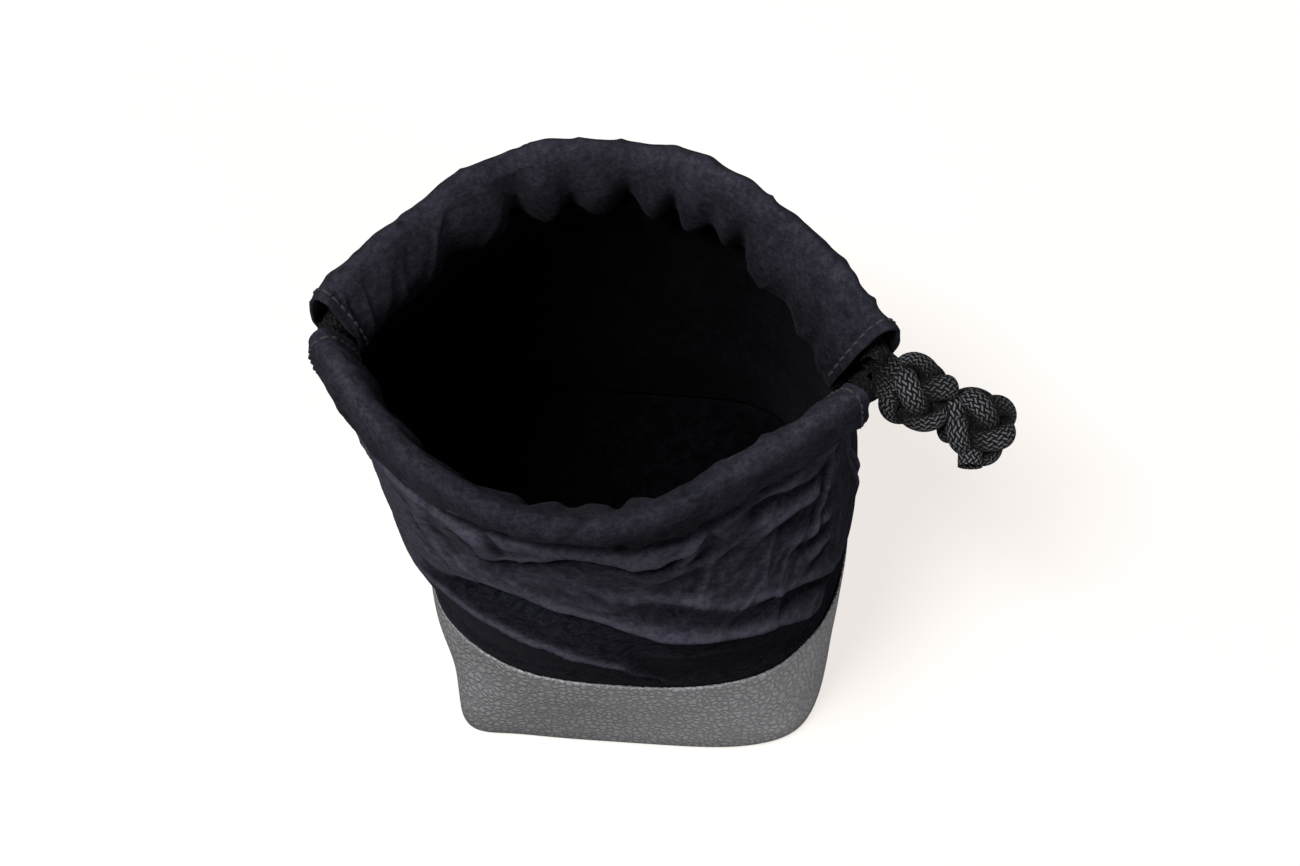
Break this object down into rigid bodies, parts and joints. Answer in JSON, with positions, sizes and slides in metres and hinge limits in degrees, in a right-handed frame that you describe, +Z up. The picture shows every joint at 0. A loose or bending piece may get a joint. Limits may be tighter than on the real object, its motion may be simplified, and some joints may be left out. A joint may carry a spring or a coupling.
{
  "type": "drawstring lens pouch",
  "caption": "Standing drawstring pouch for a camera lens: padded leather base, dark cloth upper with fleece lining, and a knotted cord in the mouth hem.",
  "frame": {"origin": "on the surface the pouch stands on, under the middle of its base", "axes": "+Z up, +X to the side where the drawstring leaves the mouth, -Y to the front"},
  "size_m": [0.1107, 0.0797, 0.112],
  "materials": {
    "leather": "pebbled grain, low sheen",
    "cloth": "matt, finely creased",
    "fleece": "short black pile",
    "foam": "soft padding",
    "braid": "braided cord"
  },
  "bodies": {
    "body": {"leather_bottom": "leather", "leather_wall": "leather", "wall_pad": "foam", "base_pad": "foam", "lining_floor": "fleece", "lining_back": "fleece", "lining_front": "fleece", "back_panel": "cloth", "front_panel": "cloth", "drawstring_bridge": "braid"},
    "front_rim": {"front_casing": "cloth", "drawstring_front_run": "braid"},
    "back_rim": {"back_casing": "cloth", "drawstring_back_run": "braid"},
    "tails": {"tail_front": "braid", "tail_back": "braid"},
    "knots": {"knot_near": "braid", "knot_far": "braid"}
  },
  "joints": [
    {"name": "tail_swing", "type": "hinge", "parent": "body", "child": "tails", "pos_m": [0.0392, 0.0004, 0.10165], "axis": [0.2924, 0.9563, 0], "range_deg": [-25, 7], "stiffness_Nm_per_rad": 0.02, "deforming": ["tail_front", "tail_back"]},
    {"name": "drawstring_pull", "type": "slide", "parent": "tails", "child": "knots", "axis": [0.8867, -0.2711, -0.3746], "range_m": [0, 0.028]},
    {"name": "mouth_front", "type": "hinge", "parent": "body", "child": "front_rim", "pos_m": [0, -0.0365, 0.037], "axis": [-1, 0, 0], "range_deg": [0, 25], "deforming": ["front_casing", "drawstring_front_run"]},
    {"name": "mouth_back", "type": "hinge", "parent": "body", "child": "back_rim", "pos_m": [0, 0.0365, 0.037], "axis": [1, 0, 0], "range_deg": [0, 25], "deforming": ["back_casing", "drawstring_back_run"]}
  ],
  "couplings": [
    {"joint": "mouth_front", "follows": "drawstring_pull", "rad_per_m": 15.5},
    {"joint": "mouth_back", "follows": "drawstring_pull", "rad_per_m": 15.5}
  ]
}
